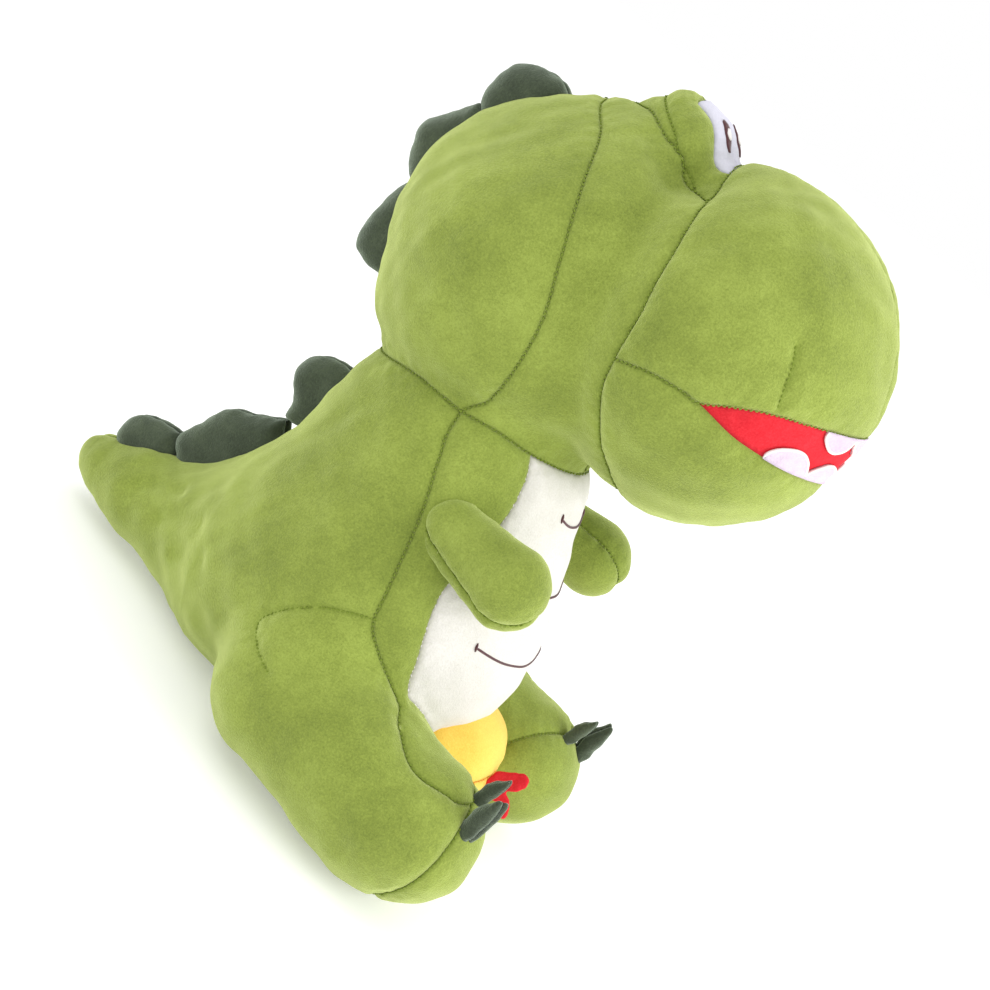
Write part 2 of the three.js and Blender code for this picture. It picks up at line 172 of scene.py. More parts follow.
def leg_form(p):
    thigh_dip = np.clip((p[..., 0] - 38) / 45, 0, 1) * 6
    ankle_dip = 5 * np.exp(-((p[..., 0] - 110) / 18) ** 2)
    dip = (thigh_dip + ankle_dip) * np.exp(-((p[..., 2] - 90) / 26) ** 2)
    return limb(folded(p), (42, 62, 47), (118, 70, 44), 43, 42, 0.90) + dip


def torso_form(p):
    chest = egg(p, (12, 0, 178), (63, 58, 62))
    tummy = egg(p, (21, 0, 89), (88, 82, 92))
    tail = limb(p, (-45, 0, 48), (-138, 0, 26), 50, 15)
    tip = limb(p, (-120, 0, 31), (-151, 0, 27), 20, 9)
    return smin(smin(smin(chest, tummy, 45), tail, 35), tip, 20)


def body_form(p):
    return smin(torso_form(p), leg_form(p), 14)


def whole_form(p):
    f = smin(smin(head_form(p), eye_form(p), 8), body_form(p), 10)
    return -smin(-f, p[..., 2] - REST_Z, 6)


def arm_form(p):
    return limb(folded(p), (51, 56, 158), (87, 62, 159), 16.5, 20, 0.88)


def pad_form(p):
    return egg(p, (99, 0, 50), (32, 46, 29))


def slope(f, p):
    e = 0.4
    g = np.empty_like(p)
    for i in range(3):
        d = np.zeros(3)
        d[i] = e
        g[:, i] = (f(p + d) - f(p - d)) / (2 * e)
    return g


def settle(f, p, rounds=2):
    """Moves points onto the surface f = 0."""
    for _ in range(rounds):
        g = slope(f, p)
        p = p - g * (f(p) / np.maximum((g ** 2).sum(-1), 1e-6))[:, None]
    return p


def normals_of(f, p):
    g = slope(f, p)
    return g / np.maximum(np.linalg.norm(g, axis=1), 1e-9)[:, None]


def skin(f, lo, hi, h):
    """Surface of f = 0 in a box, as vertices and triangles."""
    lo, hi = np.array(lo, float), np.array(hi, float)
    n = np.ceil((hi - lo) / h).astype(int) + 1
    ax = [lo[i] + h * np.arange(n[i]) for i in range(3)]
    v = f(np.stack(np.meshgrid(*ax, indexing="ij"), -1))
    s = v < 0
    c = np.zeros(tuple(n - 1), int)
    for i in (0, 1):
        for j in (0, 1):
            for k in (0, 1):
                c += s[i:n[0] - 1 + i, j:n[1] - 1 + j, k:n[2] - 1 + k]
    act = (c > 0) & (c < 8)
    idx = -np.ones(act.shape, int)
    idx[act] = np.arange(act.sum())
    cells = np.argwhere(act)
    acc = np.zeros((len(cells), 3))
    cnt = np.zeros(len(cells))
    for d in range(3):
        u, w = (d + 1) % 3, (d + 2) % 3
        for i in (0, 1):
            for j in (0, 1):
                a = np.zeros(3, int)
                a[u], a[w] = i, j
                b = a.copy()
                b[d] = 1
                va = v[tuple((cells + a).T)]
                vb = v[tuple((cells + b).T)]
                m = (va < 0) != (vb < 0)
                t = np.where(m, va / (va - vb + 1e-30), 0)
                pt = a + t[:, None] * (b - a)
                acc[m] += pt[m]
                cnt[m] += 1
    verts = lo + h * (cells + acc / cnt[:, None])
    quads = []
    for d in range(3):
        u, w = (d + 1) % 3, (d + 2) % 3
        s0 = tuple(slice(0, n[i] - (1 if i == d else 0)) for i in range(3))
        s1 = tuple(slice(1 if i == d else 0, n[i]) for i in range(3))
        x = np.argwhere(s[s0] != s[s1])
        ok = (x[:, u] > 0) & (x[:, w] > 0) & (x[:, u] < n[u] - 1) & (x[:, w] < n[w] - 1)
        x = x[ok]
        inside = s[s0][tuple(x.T)]

        def at(du, dw):
            y = x.copy()
            y[:, u] -= du
            y[:, w] -= dw
            return idx[tuple(y.T)]

        q = np.stack([at(1, 1), at(0, 1), at(0, 0), at(1, 0)], 1)
        q[~inside] = q[~inside][:, ::-1]
        quads.append(q)
    q = np.concatenate(quads)
    verts = settle(f, verts, 2)
    d02 = np.linalg.norm(verts[q[:, 0]] - verts[q[:, 2]], axis=1)
    d13 = np.linalg.norm(verts[q[:, 1]] - verts[q[:, 3]], axis=1)
    near = (d02 <= d13)[:, None]
    t1 = np.where(near, q[:, [0, 1, 2]], q[:, [0, 1, 3]])
    t2 = np.where(near, q[:, [0, 2, 3]], q[:, [1, 2, 3]])
    return verts, np.concatenate([t1, t2])


def edges_of(t):
    return np.concatenate([t[:, list(pair)] for pair in TRIANGLE_EDGES])


def compact(v, t):
    used, inv = np.unique(t, return_inverse=True)
    return v[used], inv.reshape(-1, 3)


def cut(v, t, form, f, pitch=GRID):
    """Cuts a mesh along f = 0. Returns the negative side, the positive side and the cut's edges."""
    v, t = compact(v, t)
    g = f(v)
    near = np.abs(g) < 0.35 * pitch
    if near.any():
        p = v[near]
        for _ in range(2):
            nn = normals_of(form, p)
            gr = slope(f, p)
            gr = gr - nn * (gr * nn).sum(-1)[:, None]
            gg = (gr ** 2).sum(-1)
            step = np.clip(f(p) / np.maximum(gg, 0.05), -pitch, pitch)
            p = p - gr * step[:, None]
        p = settle(form, p, 1)
        good = (np.abs(f(p)) < 0.2) & (np.linalg.norm(p - v[near], axis=1) < 0.7 * pitch)
        at = np.where(near)[0][good]
        v = v.copy()
        v[at] = p[good]
        g = f(v)
        g[at] = 0.0
    s = np.sign(g)
    st = s[t]
    cross = (st.min(1) < 0) & (st.max(1) > 0)
    keep = t[~cross]
    work = t[cross]
    edges = edges_of(work)
    es = s[edges]
    edges = np.sort(edges[(es[:, 0] * es[:, 1]) < 0], axis=1)
    edges = np.unique(edges, axis=0)
    if len(edges):
        ga, gb = g[edges[:, 0]], g[edges[:, 1]]
        r = ga / (ga - gb)
        new = v[edges[:, 0]] * (1 - r)[:, None] + v[edges[:, 1]] * r[:, None]
        new = settle(form, new, 1)
    else:
        new = np.zeros((0, 3))
    key = {(int(a), int(b)): len(v) + i for i, (a, b) in enumerate(edges)}
    out = []
    for tri in work:
        a, b, c = (int(i) for i in tri)
        sa, sb, sc = s[a], s[b], s[c]
        if sa * sb * sc == 0:
            while s[a] != 0:
                a, b, c = b, c, a
            m = key[(min(b, c), max(b, c))]
            out += [(a, b, m), (a, m, c)]
        else:
            while not (s[a] != s[b] and s[a] != s[c]):
                a, b, c = b, c, a
            ab, ac = key[(min(a, b), max(a, b))], key[(min(a, c), max(a, c))]
            out += [(a, ab, ac), (ab, b, c), (ab, c, ac)]
    v = np.concatenate([v, new])
    g = np.concatenate([g, np.zeros(len(new))])
    t = np.concatenate([keep, np.array(out, int).reshape(-1, 3)])
    side = g[t][np.arange(len(t)), np.abs(g[t]).argmax(1)]
    neg, pos = t[side < 0], t[side >= 0]
    zero = g == 0
    e = edges_of(neg)
    e = e[zero[e].all(1)]
    e = np.unique(np.sort(e, axis=1), axis=0)
    if len(pos) and len(neg):
        ep = set(map(tuple, np.sort(edges_of(pos), axis=1)))
        e = np.array([x for x in map(tuple, e) if x in ep], int).reshape(-1, 2)
    else:
        e = np.zeros((0, 2), int)
    return (v, neg), (v, pos), v[e]


def chains(segments):
    """Joins cut edges into polylines of four points or more."""
    if not len(segments):
        return []
    pts = np.round(segments.reshape(-1, 3), 3)
    u, inv = np.unique(pts, axis=0, return_inverse=True)
    inv = inv.reshape(-1, 2)
    link = {}
    for a, b in inv:
        if a != b:
            link.setdefault(int(a), []).append(int(b))
            link.setdefault(int(b), []).append(int(a))
    seen, out = set(), []
    order = sorted(link, key=lambda k: (len(link[k]) != 1, k))
    for k in order:
        if k in seen:
            continue
        line, cur = [k], k
        seen.add(k)
        while True:
            nxt = [j for j in link[cur] if j not in seen]
            if not nxt:
                break
            cur = nxt[0]
            seen.add(cur)
            line.append(cur)
        if len(line) >= 4:
            if len(link[k]) == 2 and k in link[line[-1]]:
                line.append(k)
            out.append(u[line])
    return out


def smooth_line(line, rounds=4):
    p = line.copy()
    closed = np.allclose(p[0], p[-1])
    for _ in range(rounds):
        q = p.copy()
        q[1:-1] = 0.25 * p[:-2] + 0.5 * p[1:-1] + 0.25 * p[2:]
        if closed:
            q[0] = q[-1] = 0.25 * p[-2] + 0.5 * p[0] + 0.25 * p[1]
        p = q
    return p


def resample(line, pitch):
    d = np.r_[0, np.cumsum(np.linalg.norm(np.diff(line, axis=0), axis=1))]
    n = max(2, int(round(d[-1] / pitch)) + 1)
    s = np.linspace(0, d[-1], n)
    return np.stack([np.interp(s, d, line[:, i]) for i in range(3)], 1)


def curve(points, n=12):
    """A smooth line through the points (Catmull-Rom)."""
    p = np.array(points, float)
    p = np.vstack([2 * p[0] - p[1], p, 2 * p[-1] - p[-2]])
    out = []
    for i in range(1, len(p) - 2):
        for t in np.linspace(0, 1, n, endpoint=False):
            a, b, c, d = p[i - 1:i + 3]
            out.append(0.5 * (2 * b + (c - a) * t + (2 * a - 5 * b + 4 * c - d) * t * t
                              + (3 * b - a - 3 * c + d) * t ** 3))
    out.append(p[-2])
    return np.array(out)


def along_z(points):
    c = curve(points)
    c = c[np.argsort(c[:, 1])]
    return lambda z: np.interp(z, c[:, 1], c[:, 0])


def along_x(points):
    c = curve(points)
    c = c[np.argsort(c[:, 0])]
    return lambda x: np.interp(x, c[:, 0], c[:, 1])


def outline_distance(px, pz, poly):
    """Signed distance to a closed outline, negative inside."""
    a = np.array(poly, float)
    b = np.roll(a, -1, axis=0)
    best = np.full(px.shape, 1e18)
    odd = np.zeros(px.shape, bool)
    for (ax, az), (bx, bz) in zip(a, b):
        ex, ez = bx - ax, bz - az
        wx, wz = px - ax, pz - az
        t = np.clip((wx * ex + wz * ez) / (ex * ex + ez * ez + 1e-12), 0, 1)
        best = np.minimum(best, (wx - ex * t) ** 2 + (wz - ez * t) ** 2)
        hit = ((az > pz) != (bz > pz)) & (px < ex * (pz - az) / (bz - az + 1e-12) + ax)
        odd ^= hit
    d = np.sqrt(best)
    return np.where(odd, -d, d)


# ---------------------------------------------------------------- seams of the head and body
crown_x = along_z([(-66, 110), (-56, 80), (-39, 63), (-30, 43), (-24, 24), (-20, 6), (-17, -20),
                   (-21, -48), (-29, -67), (-41, -79), (-60, -110)])
cheek_x = along_z([(14, 110), (17, 73), (19, 56), (22, 32), (22, 10), (22, -3), (20, -22),
                   (19, -41), (24, -62), (32, -80), (40, -110)])
lip_top = along_x([(20, -22), (39, -20), (55, -21.5), (63, -23), (77, -18), (91, -14), (111, -12),
                   (130, -11), (170, -9)])
lip_low = along_x([(20, -22), (39, -20), (55, -21.5), (63, -23), (82, -30), (99, -34), (115, -37.5),
                   (130, -42), (170, -56)])
neck_z = along_x([(-130, 176), (-80, 180), (-57, 186), (-18, 199), (3, 202), (16, 203), (34, 206),
                  (52, 206), (71, 206), (110, 204), (170, 200)])
BELLY = curve([(37, 240), (38, 204), (42.6, 180), (48, 166), (60, 134), (63, 113), (61.5, 94), (60, 82),
               (57, 74), (42, 66), (20, 62)], 5)
BELLY = np.concatenate([BELLY, (BELLY * [-1, 1])[::-1]])
SIDE = curve([(4, 290), (16, 203), (23, 183), (33, 162), (40, 143), (48, 118), (54, 102), (74, 87.5),
              (96, 78), (112, 73.5), (129, 75), (140, 74), (160, 74), (220, 76)], 5)
SIDE = np.concatenate([SIDE, [(220, -60), (-260, -60), (-260, 290)]])
HOOD = curve([(-44, 0), (-39, 9), (-34, 15), (-29, 19), (-24.5, 22.5), (-19, 25.3), (-13, 27), (-6, 27.5),
              (0, 27), (5, 26.5), (9, 27), (13, 29.5), (17, 34), (23, 42)], 4)
HOOD = np.concatenate([HOOD, [(34, 42), (34, -10), (-44, -10)]])
MOUTH_FRONT = 48.0                  # the teeth stand round this point of the head's X axis
EYE_LOW = 40                        # the eye's panels are cut from the form above this height
WHITE_HALF, WHITE_Z, WHITE_TALL = 17, 74, 27
LOW_TOOTH, TOP_TOOTH = 24.0, 20.0   # degrees round the mouth that one tooth takes
NO_TOOTH = -6.0


def f_mid(p):
    return p[..., 1]


def f_neck(p):
    return p[..., 2] - neck_z(p[..., 0])


def f_eye(p):
    h = to_head(p)
    inside = outline_distance(h[..., 0], np.abs(h[..., 1]), HOOD)
    return np.maximum(np.maximum(inside, h[..., 0] - cheek_x(h[..., 2])), EYE_LOW - h[..., 2])


def f_white(p):
    h = to_head(p)
    high = np.maximum(h[..., 2] - WHITE_Z, 0) / WHITE_TALL
    arch = WHITE_HALF * (1 - np.sqrt((h[..., 1] / WHITE_HALF) ** 2 + high ** 2))
    return np.minimum(arch, h[..., 0] + 12)


def f_lid(p):
    h = to_head(p)
    join = 2.5 * np.clip((76 - h[..., 2]) / 6, 0, 1)
    return (h[..., 0] + 25.5 + join - (88 - h[..., 2]) * 1.21) / 1.57


def f_crown(p):
    h = to_head(p)
    return h[..., 0] - crown_x(h[..., 2])


def f_cheek(p):
    h = to_head(p)
    return h[..., 0] - cheek_x(h[..., 2])


def f_upper(p):
    h = to_head(p)
    return h[..., 2] - lip_top(h[..., 0])


def f_lower(p):
    h = to_head(p)
    return np.minimum(h[..., 2] - lip_low(h[..., 0]), 0.6 * (h[..., 0] - 62))


def f_belly(p):
    inside = np.maximum(outline_distance(p[..., 1], p[..., 2], BELLY), 30 - p[..., 0])
    return np.maximum(inside, 0.5 * (torso_form(p) - leg_form(p)))


def f_sole(p):
    y = np.abs(p[..., 1])
    return np.minimum(0.87 * (p[..., 0] - 90.4 - 0.514 * y - 0.204 * p[..., 2]), y - 24)


def f_back(p):
    inner = np.maximum(56 - p[..., 0], np.abs(p[..., 1]) - 66)
    return np.maximum(outline_distance(p[..., 0], p[..., 2], SIDE), -inner)


def in_mouth(p):
    """The angle round the mouth, the height in the head, the two lips and the room between them."""
    h = to_head(p)
    top, low = lip_top(h[..., 0]), lip_low(h[..., 0])
    angle = np.degrees(np.arctan2(np.abs(h[..., 1]), h[..., 0] - MOUTH_FRONT))
    return angle, h[..., 2], top, low, top - low


def f_low_teeth(p):
    a, z, _, low, room = in_mouth(p)
    tall = np.minimum(11.0 * np.abs(np.sin(np.pi * a / LOW_TOOTH)) ** 0.55, 0.62 * room)
    return z - low - np.where(a < 2 * LOW_TOOTH, tall, NO_TOOTH)


def f_top_teeth(p):
    a, z, top, _, room = in_mouth(p)
    tall = np.minimum(9.5 * np.abs(np.cos(np.pi * a / TOP_TOOTH)) ** 0.6, 0.5 * room)
    return top - z - np.where(a < 1.5 * TOP_TOOTH, tall, NO_TOOTH)


def flip(v, t):
    return v * MIRROR, t[:, ::-1]


def on_mid(v, t):
    """The edges of a half panel that lie on the middle of the toy."""
    u, c = np.unique(np.sort(edges_of(t), axis=1), axis=0, return_counts=True)
    e = u[c == 1]
    return v[e[(np.abs(v[e][:, :, 1]) < 1e-3).all(1)]]


def rim_of(v, t):
    """The border edges of a mesh, in the direction of its faces."""
    e = edges_of(t)
    return e[~np.isin(e[:, 0] * len(v) + e[:, 1], e[:, 1] * len(v) + e[:, 0])]


def wall(rim, below):
    """Faces from each border edge down to the same edge in another row of points."""
    return np.concatenate([np.stack([rim[:, 0], below[:, 0], rim[:, 1]], 1),
                           np.stack([rim[:, 1], below[:, 0], below[:, 1]], 1)])


# ---------------------------------------------------------------- noise and grooves
def waves(seed, count, shortest, longest):
    """Smooth noise as a sum of waves with lengths between shortest and longest."""
    r = np.random.default_rng(seed)
    k = r.normal(size=(count, 3))
    k /= np.linalg.norm(k, axis=1)[:, None]
    k *= (2 * math.pi / r.uniform(shortest, longest, count))[:, None]
    ph = r.uniform(0, 2 * math.pi, count)

    def noise(p):
        return np.sin(p @ k.T + ph).sum(-1) / math.sqrt(count / 2)

    return noise


ROLL = waves(3, 14, 38, 90)
RUMPLE = waves(7, 16, 11, 26)
PUCKER = waves(11, 12, 5.5, 9)


def points_of(*groups):
    return np.concatenate([np.asarray(g, float).reshape(-1, 3) for g in groups])


def tree_of(points):
    tree = KDTree(len(points))
    for i, p in enumerate(points):
        tree.insert(p, i)
    tree.balance()
    return tree


def both_sides_of(points):
    return np.concatenate([points, points * MIRROR])


def reach(tree, v):
    """How far each point is from the nearest point in the tree."""
    return np.array([tree.find(p)[2] for p in v])


def groove(d, deep, wide):
    """How far the cloth sinks at a distance d from a seam."""
    return 0.5 * np.exp(-d / 1.0) + deep * np.clip(1 - d / wide, 0, 1) ** 2


# ---------------------------------------------------------------- materials
def linear(hexa):
    out = []
    for i in (0, 2, 4):
        c = int(hexa[i:i + 2], 16) / 255
        out.append(c / 12.92 if c <= 0.04045 else ((c + 0.055) / 1.055) ** 2.4)
    return (*out, 1.0)


def node(tree, kind, x, y, **inputs):
    n = tree.nodes.new(kind)
    n.location = (x, y)
    for k, val in inputs.items():
        n.inputs[k.replace("_", " ")].default_value = val
    return n


def math_node(tree, x, y, operation, first, second, third=None):
    """A Math node; each input is an output socket or a number."""
    n = tree.nodes.new("ShaderNodeMath")
    n.location = (x, y)
    n.operation = operation
    for socket, value in zip(n.inputs, (first, second, third)):
        if isinstance(value, (int, float)):
            socket.default_value = value
        elif value is not None:
            tree.links.new(value, socket)
    return n.outputs[0]


def cloth(name, dark, mid, light, seam, sheen, pile=1.0, patch=26.0, tint=None):
    """Short pile cloth: brushed light and dark patches, fine fibre relief, a soft sheen and painted shade
    along the seams.
    """
    m = bpy.data.materials.new(name)
    m.use_nodes = True
    t = m.node_tree
    t.nodes.clear()
    out = node(t, "ShaderNodeOutputMaterial", 900, 0)
    b = node(t, "ShaderNodeBsdfPrincipled", 600, 0, Roughness=0.9)
    b.inputs["Specular IOR Level"].default_value = 0.25
    b.inputs["Sheen Weight"].default_value = sheen
    b.inputs["Sheen Roughness"].default_value = 0.45
    b.inputs["Sheen Tint"].default_value = linear(tint or light)
    t.links.new(b.outputs[0], out.inputs[0])
    tc = node(t, "ShaderNodeTexCoord", -1100, 0)
    big = node(t, "ShaderNodeTexNoise", -700, 250, Scale=patch, Detail=3.0, Roughness=0.55)
    small = node(t, "ShaderNodeTexNoise", -700, 0, Scale=patch * 9, Detail=4.0, Roughness=0.6)
    fibre = node(t, "ShaderNodeTexNoise", -700, -300, Scale=1000.0, Detail=2.5, Roughness=0.75)
    brush = node(t, "ShaderNodeMapping", -900, -500)
    brush.inputs["Scale"].default_value = (1.0, 1.0, 0.35)
    brush.inputs["Rotation"].default_value = (0.5, 0.7, 0.2)
    lines = node(t, "ShaderNodeTexNoise", -700, -550, Scale=2300.0, Detail=1.0)
    for n in (big, small, fibre, brush):
        t.links.new(tc.outputs["Object"], n.inputs["Vector"])
    t.links.new(brush.outputs[0], lines.inputs["Vector"])
    mix = math_node(t, -500, 150, "MULTIPLY_ADD", small.outputs[0], 0.30, big.outputs[0])
    grain = math_node(t, -350, 150, "MULTIPLY_ADD", fibre.outputs[0], 1.0, mix)
    spread = math_node(t, -250, 150, "MULTIPLY", grain, 0.67)
    ramp = node(t, "ShaderNodeValToRGB", -150, 150)
    e = ramp.color_ramp.elements
    e[0].position, e[0].color = 0.55, linear(dark)
    e[1].position, e[1].color = 0.98, linear(light)
    k = e.new(0.77)
    k.color = linear(mid)
    t.links.new(spread, ramp.inputs[0])
    # painted shade: the "seam" attribute mixes in the seam colour, darkening the cloth towards its seams
    # and on the turned-in hems
    at = node(t, "ShaderNodeAttribute", -150, -120)
    at.attribute_name = "seam"
    shade = node(t, "ShaderNodeMix", 250, 100)
    shade.data_type = "RGBA"
    shade.inputs[7].default_value = linear(seam)
    t.links.new(at.outputs["Fac"], shade.inputs[0])
    t.links.new(ramp.outputs[0], shade.inputs[6])
    t.links.new(shade.outputs[2], b.inputs["Base Color"])
    relief = math_node(t, -350, -350, "ADD", fibre.outputs[0], lines.outputs[0])
    bump = node(t, "ShaderNodeBump", 300, -300, Strength=0.55 * pile, Distance=0.0006)
    t.links.new(relief, bump.inputs["Height"])
    t.links.new(bump.outputs[0], b.inputs["Normal"])
    return m


def plain(name, colour, rough, sheen=0.2):
    """Thread: one colour with a fine twist in relief."""
    m = bpy.data.materials.new(name)
    m.use_nodes = True
    t = m.node_tree
    b = t.nodes["Principled BSDF"]
    b.inputs["Base Color"].default_value = linear(colour)
    b.inputs["Roughness"].default_value = rough
    b.inputs["Specular IOR Level"].default_value = 0.3
    b.inputs["Sheen Weight"].default_value = sheen
    tc = node(t, "ShaderNodeTexCoord", -900, 0)
    n = node(t, "ShaderNodeTexNoise", -600, 0, Scale=900.0, Detail=2.0)
    t.links.new(tc.outputs["Object"], n.inputs["Vector"])
    bump = node(t, "ShaderNodeBump", -300, -200, Strength=0.35, Distance=0.0004)
    t.links.new(n.outputs[0], bump.inputs["Height"])
    t.links.new(bump.outputs[0], b.inputs["Normal"])
    return m


# seam= is the colour of the painted shade in each cloth's seam grooves
GREEN = cloth("green_pile", "6C7B30", "83923D", "97A74C", seam="74862F", sheen=1.0, tint="E8F4A4")
DARK = cloth("dark_pile", "2F3729", "3D4636", "4C5642", seam="20261E", patch=60, sheen=1.0, tint="C4D4C0")
WHITE = cloth("white_pile", "CFCCC5", "D8D5CF", "E1DEDA", seam="C0BCB4", sheen=0.2, pile=0.7)
YELLOW = cloth("yellow_pile", "EFBE4C", "F6CD5A", "FBD868", seam="D8A038", sheen=0.4, tint="FFF4B0")
RED = cloth("red_cloth", "C41725", "D2242F", "DC323C", seam="9A1620", sheen=0.15, pile=0.5)
FELT = cloth("tooth_felt", "BFADBF", "CBBBCB", "D5C8D6", seam="AC98AC", sheen=0.2, pile=0.8)
EYEW = cloth("eye_cloth", "C6C5D2", "CFCEDA", "D8D7E2", seam="AEADBE", sheen=0.15, pile=0.4)
THREAD_G = plain("thread_green", "75872F", 0.9, sheen=0.0)
THREAD_D = plain("thread_dark", "2C352C", 0.7)
THREAD_W = plain("thread_white", "E6E2E0", 0.6)
THREAD_B = plain("thread_brown", "4E262B", 0.5)
THREAD_Y = plain("thread_yellow", "E0A840", 0.7)


# ---------------------------------------------------------------- meshes from the forms

def make(name, v, t, material, seam=None):
    """A mesh object from form coordinates in mm; seam is each point's share of the painted seam shade."""
    v, t2 = compact(v, t)
    me = bpy.data.meshes.new(name)
    me.from_pydata(((v + [SHIFT, 0, 0]) * MM).tolist(), [], t2.tolist())
    me.materials.append(material)
    if seam is not None:
        used = np.unique(t)
        a = me.attributes.new("seam", "FLOAT", "POINT")
        a.data.foreach_set("value", seam[used].astype(np.float32))
    me.update()
    me.shade_smooth()
    o = bpy.data.objects.new(name, me)
    bpy.context.collection.objects.link(o)
    return o


def join(parts):
    """One mesh from a list of (vertices, triangles)."""
    v, t, n = [], [], 0
    for a, b in parts:
        v.append(a)
        t.append(b + n)
        n += len(a)
    return np.concatenate(v), np.concatenate(t)


def barrel(rows, ring):
    """Triangles between rows of points, each row a closed ring."""
    t = []
    for i in range(rows - 1):
        for k in range(ring):
            a, b = i * ring + k, i * ring + (k + 1) % ring
            t += [(a, b, b + ring), (a, b + ring, a + ring)]
    return t


def bead():
    """A short rounded stitch along X, unit length and width."""
    ring, rows = 6, [(-0.5, 0.0), (-0.42, 0.35), (-0.15, 0.5), (0.15, 0.5), (0.42, 0.35), (0.5, 0.0)]
    v = []
    for x, r in rows:
        for k in range(ring):
            a = 2 * math.pi * k / ring
            v.append((x, r * math.cos(a), r * math.sin(a)))
    return np.array(v), np.array(barrel(len(rows), ring))[:, ::-1]


BEAD = bead()


def frames_along(form, p):
    """At each point of a line: the normal, the way along the line and the way across it."""
    n = normals_of(form, p)
    d = np.gradient(p, axis=0)
    d -= n * (d * n).sum(-1)[:, None]
    d /= np.maximum(np.linalg.norm(d, axis=1), 1e-6)[:, None]
    return n, d, np.cross(n, d)


def stitches(lines, form, place, pitch=2.3, thick=0.8, sink=-0.45):
    """Rows of thread along polylines; place says where a point of the form has gone."""
    length, tilt = 1.5, 0.5
    out = []
    for line in lines:
        p = resample(smooth_line(line, 3), pitch)
        if len(p) < 3:
            continue
        n, d, s = frames_along(form, p)
        q = place(p, n)
        for i in range(len(p)):
            x = d[i] + s[i] * (tilt if i % 2 else -0.25 * tilt)
            x /= np.linalg.norm(x)
            y = np.cross(n[i], x)
            m = np.stack([x * length, y * thick, n[i] * thick])
            out.append((BEAD[0] @ m + q[i] - n[i] * sink, BEAD[1]))
    return join(out)


def tube(line, form, place, radius, lift, step=1.2):
    """A thread laid along a line of the form, thinner at both ends."""
    sides = 8
    p = resample(smooth_line(line, 2), step)
    n, _, s = frames_along(form, p)
    p = place(p, n) + n * lift
    v = []
    taper = np.minimum(1, 0.35 + np.minimum(np.arange(len(p)), np.arange(len(p))[::-1]) / 3)
    for k in range(sides):
        a = 2 * math.pi * k / sides
        v.append(p + (radius * taper)[:, None] * (math.cos(a) * n + math.sin(a) * s))
    v = np.stack(v, 1).reshape(-1, 3)
    t = barrel(len(p), sides)
    for k in range(1, sides - 1):
        t += [(0, k + 1, k), (len(v) - sides, len(v) - sides + k, len(v) - sides + k + 1)]
    return v, np.array(t)[:, ::-1]


def whole_panel(v, t):
    """Both halves of a panel that crosses the middle, as one mesh."""
    v, t = compact(v, t)
    v = v.copy()
    mid = np.abs(v[:, 1]) < 0.02
    v[mid, 1] = 0
    index = np.where(mid, np.arange(len(v)), len(v) + np.cumsum(~mid) - 1)
    return np.concatenate([v, v[~mid] * MIRROR]), np.concatenate([t, index[t][:, ::-1]])


def slab(v, t, top, place):
    """A flat felt shape on the whole form, from just inside it to top above it along the normals."""
    bottom = -0.4
    v, t = compact(v, t)
    n = normals_of(whole_form, v)
    base = place(v, n)
    rim = rim_of(v, t)
    return (np.concatenate([base + n * top, base + n * bottom]),
            np.concatenate([t, t[:, ::-1] + len(v), wall(rim, rim + len(v))]))


# ---------------------------------------------------------------- the cloth cut into panels
def f_arm_seam(p):
    return (np.abs(p[..., 1]) - 62 - 0.9 * (157 - p[..., 2])) / 1.35


ARM_GRID = 1.4
both = skin(whole_form, (-172, -4.4, -4), (172, 114, 392), GRID)
_, half, _ = cut(*both, whole_form, f_mid)
half[0][np.abs(half[0][:, 1]) < 0.02, 1] = 0
body, head, s_neck = cut(*half, whole_form, f_neck)
eye, rest, s_eye = cut(*head, whole_form, f_eye)
hood, white, s_white = cut(*eye, whole_form, f_white)
hood_a, hood_b, s_lid = cut(*hood, whole_form, f_lid)
crown, rest, s_crown = cut(*rest, whole_form, f_crown)
cheek, muzzle, s_cheek = cut(*rest, whole_form, f_cheek)
under, snout, s_upper = cut(*muzzle, whole_form, f_upper)
jaw, mouth, s_lower = cut(*under, whole_form, f_lower)
belly, rest, s_belly = cut(*body, whole_form, f_belly)
rest, sole, s_sole = cut(*rest, whole_form, f_sole)
back, flank, s_side = cut(*rest, whole_form, f_back)
hood = (hood_a[0], np.concatenate([hood_a[1], hood_b[1]]))
arm = skin(arm_form, (16, 28, 128), (118, 92, 188), ARM_GRID)
arm_in, arm_out, s_arm = cut(*arm, arm_form, f_arm_seam, ARM_GRID)
ARM_TREE = tree_of(both_sides_of(points_of(s_arm)))


def surface_line(points, n):
    return settle(whole_form, curve(points, n), 3)


SNOUT_DART = surface_line(from_head([(88, 60, 16), (90, 60, 10), (91, 60, -1), (93, 60, -12)]), 5)
THIGH_DART = surface_line([(52, 75, 107), (41, 78, 102), (29, 83, 95), (15, 88, 83), (6, 89, 70),
                           (10, 94, 65), (31, 101, 61)], 6)
MID = {k: on_mid(*m) for k, m in dict(crown=crown, cheek=cheek, snout=snout, jaw=jaw, hood=hood,
                                      white=white, back=back, flank=flank).items()}
SEAMS = tree_of(both_sides_of(points_of(s_neck, s_eye, s_white, s_lid, s_crown, s_cheek, s_upper, s_lower,
                                        s_belly, s_sole, s_side, SNOUT_DART, THIGH_DART, *MID.values())))
FOLDS = [surface_line(p, 6) for p in (
    [(-42, 60, 57), (-50, 52, 50), (-62, 45, 40)], [(-58, 50, 66), (-72, 41, 55), (-84, 36, 44)],
    [(-86, 33, 62), (-97, 29, 54), (-108, 25, 44)])]
FOLD_TREE = tree_of(both_sides_of(points_of(*FOLDS)))


